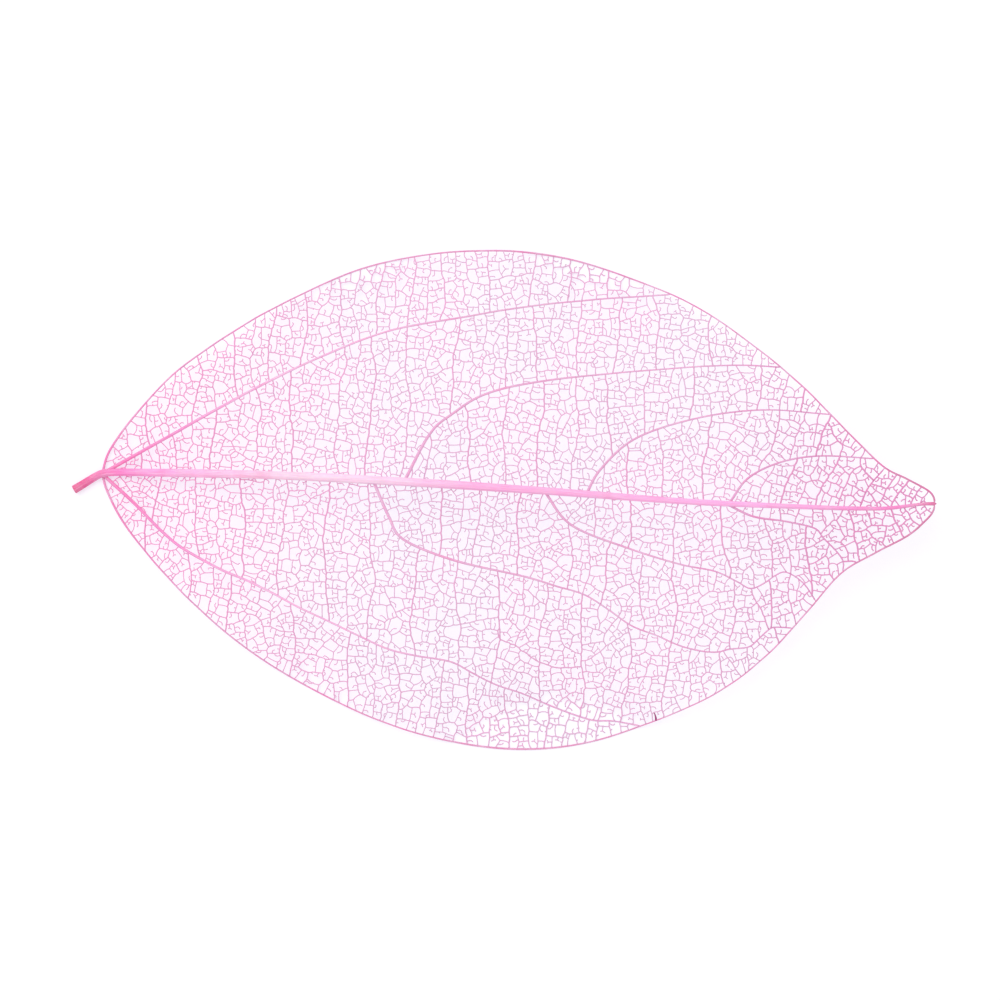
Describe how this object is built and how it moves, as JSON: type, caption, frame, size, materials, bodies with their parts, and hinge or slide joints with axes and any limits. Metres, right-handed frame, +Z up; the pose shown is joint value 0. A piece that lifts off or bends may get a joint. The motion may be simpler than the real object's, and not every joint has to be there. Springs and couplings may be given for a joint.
{
  "type": "skeleton leaf",
  "caption": "Dyed skeleton leaf: a stalk stub and midrib with arching side veins, a bound edge and an open vein net, lying arched on a surface.",
  "frame": {"origin": "centre of the bounding box in plan, on the surface that the leaf lies on", "axes": "+X along the midrib from the stalk to the tip, +Y across the blade, +Z up, away from the surface"},
  "size_m": [0.0918, 0.0536, 0.0059],
  "materials": {
    "dyed_veins": "matt dyed plant fibre, deeper pink at the foot of the blade and paler along the midrib"
  },
  "bodies": {
    "root": {"skeleton_leaf": "dyed_veins"}
  },
  "joints": []
}
